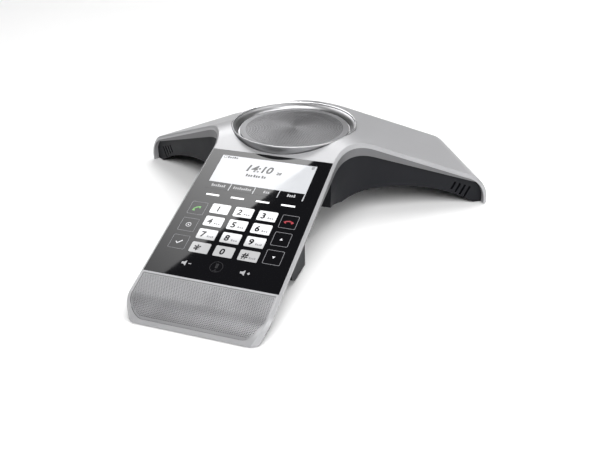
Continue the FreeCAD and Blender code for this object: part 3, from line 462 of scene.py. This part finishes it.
silver = surface("silver_paint", (0.36, 0.36, 0.37), 0.4, metallic=0.2, grain=0.25 * MM,
                 grain_depth=0.003 * MM, mottle=0.02, rough_spread=0.03)
# the middle frame's darker grey is partly its own tone and partly painted shade of the silver cover's side
# band
frame_grey = surface("frame_grey", (0.13, 0.13, 0.135), 0.42, metallic=0.3, grain=0.3 * MM)
housing_dark = surface("housing_dark", (0.009, 0.0095, 0.012), 0.5, grain=0.45 * MM,
                       grain_depth=0.02 * MM, mottle=0.08, gloss=0.15)
ring_metal = turned_metal("ring_metal", (0.5, 0.5, 0.51), 0.38, stretch=0.4)
# a lighter copy of the ring metal, used only as a painted highlight on the rim
rim_highlight_metal = turned_metal("rim_highlight_metal", (0.9, 0.9, 0.91), 0.3, stretch=0.0)
grille_metal = turned_metal("grille_metal", (0.17, 0.17, 0.175), 0.46, line=0.3 * MM, stretch=0.45)
front_metal = surface("front_grille_metal", (0.33, 0.33, 0.34), 0.34, metallic=0.35, grain=0.3 * MM)
cloth_black = surface("acoustic_cloth", (0.012, 0.012, 0.013), 0.9, grain=0.35 * MM, grain_depth=0.08 * MM)
glass_black = polished("black_glass", (0.004, 0.004, 0.005), 0.03)
display_white = polished("display_white", (0.46, 0.47, 0.49), 0.05, 0.1)
key_white = key_face_material()
bar_white = polished("bar_white", (0.9, 0.9, 0.91), 0.06, 0.2)
ink_black = polished("ink_black", (0.015, 0.015, 0.017), 0.08)
ink_grey = polished("ink_grey", (0.22, 0.22, 0.23), 0.2)
print_light = polished("print_light", (0.62, 0.62, 0.64), 0.25)
print_grey = polished("print_grey", (0.34, 0.34, 0.35), 0.25)
print_line = polished("print_line", (0.17, 0.17, 0.18), 0.2)
print_dim = polished("print_dim", (0.018, 0.018, 0.02), 0.15)
print_green = polished("print_green", (0.14, 0.36, 0.1), 0.25)
print_red = polished("print_red", (0.3, 0.01, 0.02), 0.25)
board_green = surface("board_green", (0.015, 0.12, 0.05), 0.4, patch=6 * MM, mottle=0.25, grain=0.6 * MM)
sheet_metal = surface("sheet_metal", (0.6, 0.6, 0.6), 0.3, metallic=1.0, patch=4 * MM, mottle=0.1)
chip_black = surface("chip_black", (0.025, 0.025, 0.027), 0.55)
light_guide = surface("light_guide", (0.8, 0.82, 0.84), 0.25)
driver_steel = surface("driver_steel", (0.04, 0.04, 0.045), 0.4, metallic=0.4)
ferrite = surface("ferrite", (0.06, 0.06, 0.065), 0.6, metallic=0.3, mottle=0.2, grain=0.5 * MM)
cone_paper = surface("cone_paper", (0.035, 0.035, 0.04), 0.75, patch=3 * MM, mottle=0.3, grain=0.4 * MM,
                     grain_depth=0.05 * MM)
copper = surface("coil_copper", (0.55, 0.25, 0.1), 0.3, metallic=1.0, patch=2 * MM, mottle=0.15)
rubber = surface("rubber_black", (0.022, 0.022, 0.024), 0.7, grain=0.5 * MM, grain_depth=0.03 * MM)
battery_wrap = surface("battery_wrap", (0.03, 0.05, 0.12), 0.35, patch=9 * MM, mottle=0.15)
gold = surface("contact_gold", (0.8, 0.58, 0.25), 0.25, metallic=1.0)
label_grey = surface("label_grey", (0.42, 0.42, 0.43), 0.45)
screw_steel = surface("screw_steel", (0.1, 0.1, 0.105), 0.35, metallic=1.0)

CAD_FINISHES = {
    silver: ["top_cover"],
    frame_grey: ["middle_frame"],
    housing_dark: ["lower_housing", "speaker_enclosure", "battery_door"],
    cloth_black: ["front_grille_cloth", "speaker_cloth", "right_slot_mesh", "left_slot_mesh"],
    glass_black: ["glass_panel"],
    key_white: ["key_faces"],
    bar_white: ["soft_key_bars"],
    light_guide: ["display_backlight"],
    board_green: ["touch_board", "main_board", "power_board", "antenna"],
    sheet_metal: ["shield_can", "radio_module", "right_microphone", "left_microphone",
                  "front_microphone", "usb_port"],
    chip_black: ["processor", "display_cell"],
    ferrite: ["speaker_magnet"],
    driver_steel: ["speaker_basket"],
    copper: ["voice_coil"],
    cone_paper: ["speaker_cone", "dust_cap", "speaker_spider"],
    rubber: ["speaker_surround", "speaker_gasket", "right_mic_boot", "left_mic_boot", "front_mic_boot",
             "front_foot", "right_foot", "left_foot"],
    battery_wrap: ["battery_pack"],
    gold: ["battery_contacts"],
    label_grey: ["rating_plate"],
    screw_steel: ["housing_screws"],
    display_white: ["display_window"],
}


def finish_cad_nodes():
    """Gives every CAD node that stays in view its own finish."""
    for material, names in CAD_FINISHES.items():
        for name in names:
            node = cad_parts[name]
            if not node.material_slots:
                node.data.materials.append(material)
            for slot in node.material_slots:
                slot.material = material


# --- loudspeaker ring and grille ------------------------------------------------------------------------

def make_ring():
    """The turned ring: a flared skirt, a dished inner wall, and a bead of much lighter metal laid along the
    rim as a painted highlight.
    """
    wall = 2 * MM
    top = RING_HIGH[2]
    base = RING_LOW[2]
    neck = RING_RADIUS - 1.8 * MM
    shoulder = top - 9.3 * MM
    ledge = GRILLE_RADIUS + 0.5 * MM
    floor = GRILLE_LOW[2]
    rim = 0.55 * MM
    skirt = ((neck, shoulder), (neck + 0.2 * MM, top - 3.5 * MM), (RING_RADIUS, top - 0.9 * MM))
    dish = ((RING_RADIUS - 2.2 * rim, top - 1.1 * MM), (ledge + 1.4 * MM, floor + 3.4 * MM),
            (ledge + 0.3 * MM, floor + 1.2 * MM))
    profile = [(neck - wall, base), (neck, base)]
    profile += curve_points(*skirt, 10)
    profile += arc(RING_RADIUS - rim, top - rim, rim, 0, 180, 10)
    profile += curve_points(*dish, 10)
    profile += [(ledge, floor), (ledge - wall, floor), (ledge - wall, floor - 1.3 * MM)]
    ring = lathe("ring_turned", profile, ring_metal)
    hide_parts("speaker_ring")
    # painted highlight: a thin bead in the lighter copy of the ring metal sits on the rim so its edge looks
    # lit all round
    bead_radius = 0.6 * MM
    bead_drop = 0.62 * MM
    bead = arc(RING_RADIUS - bead_radius, top - bead_drop, bead_radius, -20, 200, 14)
    rim_highlight = lathe("ring_rim_highlight", bead, rim_highlight_metal)


def make_round_grille():
    """The round grille: rings of small holes in a slightly domed sheet, with a plain rim."""
    plain_rim = 4.4 * MM
    dark_gap = 0.5 * MM
    holes_end = GRILLE_RADIUS - plain_rim
    dome = 1.0 * MM
    top = GRILLE_HIGH[2] - dome
    holes = [(0.0, 0.0)]
    for ring in range(1, int(holes_end / HOLE_PITCH) + 1):
        radius = ring * HOLE_PITCH
        count = 6 * ring
        for step in range(count):
            angle = 2 * math.pi * step / count
            holes.append((radius * math.cos(angle), radius * math.sin(angle)))

    def place(x, y, depth):
        bulge = max(0.0, 1 - (x * x + y * y) / holes_end ** 2)
        return Vector((RING_X + x, RING_Y + y, top + dome * bulge - depth))

    outline = arc(0, 0, GRILLE_RADIUS - dark_gap, 0, 360, 180)[:-1]
    grille = perforated("round_grille", outline, holes, place, grille_metal)
    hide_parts("speaker_grille")


# --- front grille ---------------------------------------------------------------------------------------

def front_profile(run, depth):
    """Side view of the front grille: distance from the hub and height, at a run from its upper edge."""
    turn = GLASS_SLOPE + max(0.0, run - FRONT_STRAIGHT) / NOSE_RADIUS
    along = NOSE_ALONG + (NOSE_RADIUS - depth) * math.sin(turn)
    height = NOSE_HEIGHT + (NOSE_RADIUS - depth) * math.cos(turn)
    back = max(0.0, FRONT_STRAIGHT - run)
    return along - back * math.cos(GLASS_SLOPE), height + back * math.sin(GLASS_SLOPE)


def front_run(along):
    """The run from the grille's upper edge at which it reaches a distance from the hub."""
    reach = (along - NOSE_ALONG) / NOSE_RADIUS
    if reach <= math.sin(GLASS_SLOPE):
        return (along - FRONT_START) / math.cos(GLASS_SLOPE)
    return FRONT_STRAIGHT + (math.asin(min(reach, 1.0)) - GLASS_SLOPE) * NOSE_RADIUS


def front_holes(corner_x, corner_along):
    """Staggered rows of holes, as far out as the strip's edges and round corners leave room."""
    row_pitch = HOLE_PITCH * math.sqrt(3) / 2
    margin = 0.7 * MM
    first_row = margin + 0.3 * MM
    half_count = int(FRONT_HALF / HOLE_PITCH) + 1
    holes = []
    for line in range(int(front_run(FRONT_TIP) / row_pitch) + 1):
        run = first_row + line * row_pitch
        along = front_profile(run, 0.0)[0]
        if along > FRONT_TIP - margin:
            break
        room = FRONT_HALF - margin
        past = along - corner_along
        if past > 0:
            room = corner_x + math.sqrt(max(0.0, (FRONT_CORNER - margin) ** 2 - past ** 2))
        shift = HOLE_PITCH / 2 if line % 2 else 0.0
        for step in range(-half_count, half_count + 1):
            x = step * HOLE_PITCH + shift
            if abs(x) < room:
                holes.append((x, run))
    return holes


def make_front_grille():
    """The perforated strip that rolls over the tip of the keypad leg."""
    corner_x = FRONT_HALF - FRONT_CORNER
    corner_along = FRONT_TIP - FRONT_CORNER
    right = [(FRONT_HALF, 0.0)]
    for x, along in arc(corner_x, corner_along, FRONT_CORNER, 0, 90, 12):
        right.append((x, front_run(along)))
    left = [(-x, run) for x, run in right[::-1]]
    holes = front_holes(corner_x, corner_along)

    def place(x, run, depth):
        along, height = front_profile(run, depth)
        return Vector((x, HUB_Y - along, height))

    strip = perforated("front_grille_strip", right + left, holes, place, front_metal)
    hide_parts("front_grille")


# --- display and key marks --------------------------------------------------------------------------------

def finish_marks(name, shape, material):
    """Closes a set of marks on the glass as one piece."""
    piece = mesh_object(name, shape, material, smooth_below=20)


def make_display():
    """What the display shows: a clock, its seconds, a blank date and a blank name, and two icons."""
    slant = 0.2
    date_row = 23.8
    letter_width = 1.75
    ink = bmesh.new()
    add_digits(ink, "14:10", -14.6, 18.4, 6.6, 0.28, slant)
    add_digits(ink, "28", 9.2, 18.6, 2.6, 0.12, slant)
    for start, letters in ((-11.5, 3), (-5.8, 3), (0.2, 2)):
        add_word(ink, start, date_row, letters, letter_width * letters, 2.5)
    add_word(ink, -31.2, 8.0, 5, 8.2, 1.9)
    finish_marks("display_clock", ink, ink_black)
    marks = bmesh.new()
    add_outline(marks, rounded_square(-33.2, 7.0, 2.4, 0.5), rounded_square(-33.2, 7.0, 1.5, 0.3))
    add_plate(marks, [(32.0, 5.9), (34.2, 5.9), (34.2, 8.4), (33.1, 9.2), (32.0, 8.4)])
    finish_marks("display_icons", marks, ink_grey)


def make_tabs():
    """Four dark label tabs along the display's lower edge, each with a blank word."""
    lean = 0.35
    letter_width = 1.5
    tabs = bmesh.new()
    for number in range(4):
        start = DISPLAY_LEFT + number * TAB_PITCH
        end = start + TAB_PITCH - TAB_GAP
        start_lean = lean if number > 0 else 0.0
        add_plate(tabs, [(start, TAB_TOP), (end, TAB_TOP), (end - lean, TAB_BOTTOM),
                         (start - start_lean, TAB_BOTTOM)])
    finish_marks("display_tabs", tabs, glass_black)
    names = bmesh.new()
    for number, letters in enumerate((7, 9, 3, 4)):
        width = letter_width * letters
        middle = DISPLAY_LEFT + (number + 0.5) * TAB_PITCH
        add_word(names, middle - width / 2, 37.6, letters, width, 2.5, MARK_THICKNESS)
    finish_marks("display_tab_names", names, print_grey)


def make_key_marks():
    """A digit on each white key, with a small blank word beside it instead of letters."""
    digit_size = (4.8, 2.4)                # height, and how far its foot is below the key's middle
    star_size = (7.6, 5.4)
    word_across = 0.7
    word_foot = 2.3
    word_width = 4.6
    word_height = 1.5
    digits = bmesh.new()
    words = bmesh.new()
    for line, row in enumerate(("123", "456", "789", "*0#")):
        for column, digit in enumerate(row):
            across = (column - 1) * KEY_PITCH_ACROSS
            down = FIRST_KEY_ROW + line * KEY_PITCH_DOWN
            size, drop = star_size if digit == "*" else digit_size
            start = 4.4 if digit not in "10" else 3.0
            letters = 4 if digit in "79#" else 3
            add_digits(digits, digit, across - start, down + drop, size, boldness=0.22, slant=0.08)
            if digit not in "10*":
                add_word(words, across + word_across, down + word_foot, letters, word_width, word_height)
    finish_marks("key_digits", digits, ink_black)
    finish_marks("key_words", words, ink_grey)


def make_side_keys():
    """The outlined touch fields at both sides of the keypad, with their symbols."""
    lines = bmesh.new()
    for side in (-1, 1):
        for number in range(3):
            across = side * FIELD_ACROSS
            down = FIRST_FIELD_ROW + number * FIELD_PITCH
            outer = rounded_square(across, down, FIELD_WIDTH, 0.9)
            inner = rounded_square(across, down, FIELD_WIDTH - 2 * FIELD_LINE, 0.6)
            add_outline(lines, outer, inner)
    finish_marks("field_outlines", lines, print_line)
    green = bmesh.new()
    add_plate(green, handset(-31.0, 62.6, 4.4, -40))
    finish_marks("answer_mark", green, print_green)
    red = bmesh.new()
    add_plate(red, handset(FIELD_ACROSS, 63.6, 4.6, 0))
    finish_marks("hang_up_mark", red, print_red)
    make_field_symbols()


def make_field_symbols():
    """A ring with a dot and a tick on the left fields, an up and a down arrow on the right ones."""
    middle = FIRST_FIELD_ROW + FIELD_PITCH
    lowest = FIRST_FIELD_ROW + 2 * FIELD_PITCH
    light = bmesh.new()
    outer = rounded_square(-FIELD_ACROSS, middle, 3.8, 1.89, 6)
    inner = rounded_square(-FIELD_ACROSS, middle, 3.0, 1.49, 6)
    add_outline(light, outer, inner)
    add_plate(light, rounded_square(-FIELD_ACROSS, middle, 1.1, 0.54, 4))
    add_plate(light, [(-34.9, lowest + 0.2), (-34.4, lowest - 0.3), (-33.3, lowest + 0.8),
                      (-30.7, lowest - 1.8), (-30.2, lowest - 1.3), (-33.3, lowest + 1.8)])
    add_plate(light, [(31.5, 75.9), (33.6, 75.9), (32.55, 74.1)])
    add_plate(light, [(31.5, 89.6), (32.55, 91.4), (33.6, 89.6)])
    finish_marks("field_symbols", light, print_light)


def make_bottom_marks():
    """Two loudspeaker symbols with a minus and a plus, and a dim microphone between them."""
    quieter = (-21.2, 106.4)
    louder = (18.3, 106.1)
    sign_shift = 3.5
    cone = [(-2.2, -0.8), (-0.8, -0.8), (0.9, -2.2), (0.9, 2.2), (-0.8, 0.8), (-2.2, 0.8)]
    light = bmesh.new()
    for across, down in (quieter, louder):
        add_plate(light, [(across + x, down + y) for x, y in cone])
        add_bar(light, across + sign_shift, down, 1.9, 0.6)
    for end in (-0.63, 0.63):
        add_bar(light, louder[0] + sign_shift, louder[1] + end, 0.6, 0.65)
    finish_marks("volume_marks", light, print_grey)
    dim = bmesh.new()
    add_plate(dim, [(-0.9, 102.7), (0.9, 102.7), (0.9, 106.2), (-0.9, 106.2)])
    add_outline(dim, rounded_square(0, 105.3, 8.6, 4.29, 8), rounded_square(0, 105.3, 7.9, 3.94, 8))
    add_bar(dim, 0, 107.6, 0.5, 1.6)
    add_bar(dim, 0, 108.6, 2.6, 0.5)
    finish_marks("mute_mark", dim, print_dim)


# --- stage ------------------------------------------------------------------------------------------------

def make_floor():
    """A plain pale table top that reaches far beyond the object."""
    half_size = 6.0
    drop = 0.0002
    material = surface("table_white", (0.9, 0.9, 0.9), 0.6, patch=0.4, mottle=0.006, grain=1 * MM,
                       grain_depth=0.002 * MM)
    material.node_tree.nodes["Principled BSDF"].inputs["Specular IOR Level"].default_value = 0.1
    shape = bmesh.new()
    bmesh.ops.create_grid(shape, x_segments=8, y_segments=8, size=half_size)
    mesh = bpy.data.meshes.new("table_top")
    shape.to_mesh(mesh)
    shape.free()
    mesh.materials.append(material)
    table_top = link_object("table_top", mesh)
    table_top.location = (0, 0, cad_box[0][2] - drop)


def soft_light(name, width, length, power):
    """A rectangular light, not yet placed."""
    light = bpy.data.lights.new(name, "AREA")
    light.shape = "RECTANGLE"
    light.size = width
    light.size_y = length
    light.energy = power
    return link_object(name, light)


def add_light(name, place, target, width, length, power):
    """A soft rectangular light that faces a point."""
    lamp = soft_light(name, width, length, power)
    aim = (Vector(target) - Vector(place)).to_track_quat("-Z", "Y")
    lamp.matrix_world = Matrix.Translation(place) @ aim.to_matrix().to_4x4()
    return lamp


def make_reflection_card():
    """A level card of light, high behind the left leg; its edge crosses the glass as a reflection."""
    height = 1.2
    edge_start = Vector((-0.643, 0.247, height))
    edge_end = Vector((-0.337, 0.627, height))
    along = (edge_end - edge_start).normalized()
    away = Vector((-along.y, along.x, 0))
    width = 1.3
    length = 1.7
    power = 26
    middle = (edge_start + edge_end) / 2 + away * width / 2
    lamp = soft_light("reflection_card", width, length, power)
    lamp.matrix_world = standing(away, along, Vector((0, 0, 1)), middle)
    lamp.visible_diffuse = False
    lamp.data.use_nodes = True
    tree = lamp.data.node_tree
    emission = tree.nodes["Emission"]
    place = tree.nodes.new("ShaderNodeNewGeometry").outputs["Parametric"]
    parts = tree.nodes.new("ShaderNodeSeparateXYZ")
    tree.links.new(place, parts.inputs[0])
    dim_end = 0.25
    bright_end = 2.1
    strength = spread(tree, parts.outputs["Y"], dim_end, bright_end, 0.3, 0.75)
    tree.links.new(strength, emission.inputs["Strength"])


def make_lights():
    """A key light from the front, light from above and behind, a strip at the right, and the card."""
    add_light("key_light", (0.25, -1.1, 1.35), (0, 0, 0), 1.4, 1.0, 27)
    add_light("top_light", (0.5, 0.5, 1.7), (0, 0, 0), 1.0, 1.0, 6)
    fill = add_light("back_fill", (0.2, 1.3, 2.0), (0.2, 1.2, 0), 2.4, 2.0, 46)
    fill.visible_glossy = False
    add_light("side_strip", (0.9, -0.35, 0.4), (0, 0, 0.03), 1.0, 0.3, 5)
    make_reflection_card()


def make_world():
    """An even pale surrounding; the view straight at it is white, its light is dimmer."""
    world = bpy.data.worlds.new("studio")
    bpy.context.scene.world = world
    world.use_nodes = True
    tree = world.node_tree
    backdrop = tree.nodes["Background"]
    backdrop.inputs["Color"].default_value = (1, 1, 1, 1)
    seen = tree.nodes.new("ShaderNodeLightPath").outputs["Is Camera Ray"]
    ambient = 0.05
    white = 1.0
    tree.links.new(spread(tree, seen, ambient, white, 0.0, 1.0), backdrop.inputs["Strength"])


def make_camera():
    """A camera in front, a little to the right and above, aimed at the foot of the hub."""
    azimuth = math.radians(19.68)
    elevation = math.radians(27.07)
    roll = math.radians(-1.02)
    distance = 0.5892
    back = Vector((math.sin(azimuth) * math.cos(elevation), -math.cos(azimuth) * math.cos(elevation),
                   math.sin(elevation)))
    level_right = Vector((math.cos(azimuth), math.sin(azimuth), 0))
    level_up = back.cross(level_right)
    right = level_right * math.cos(roll) + level_up * math.sin(roll)
    up = level_up * math.cos(roll) - level_right * math.sin(roll)
    lens = bpy.data.cameras.new("camera")
    lens.lens = 44.4
    lens.sensor_width = 36.0
    lens.shift_x = 0.010
    lens.shift_y = -0.045
    lens.clip_start = 0.01
    camera = link_object("camera", lens)
    camera.matrix_world = standing(right, up, back, Vector((RING_X, HUB_Y, 0)) + back * distance)
    bpy.context.scene.camera = camera


# --- run --------------------------------------------------------------------------------------------------

finish_cad_nodes()
make_ring()
make_round_grille()
make_front_grille()
make_display()
make_tabs()
make_key_marks()
make_side_keys()
make_bottom_marks()
make_floor()
make_lights()
make_world()
make_camera()
bpy.context.scene.view_settings.view_transform = "Standard"
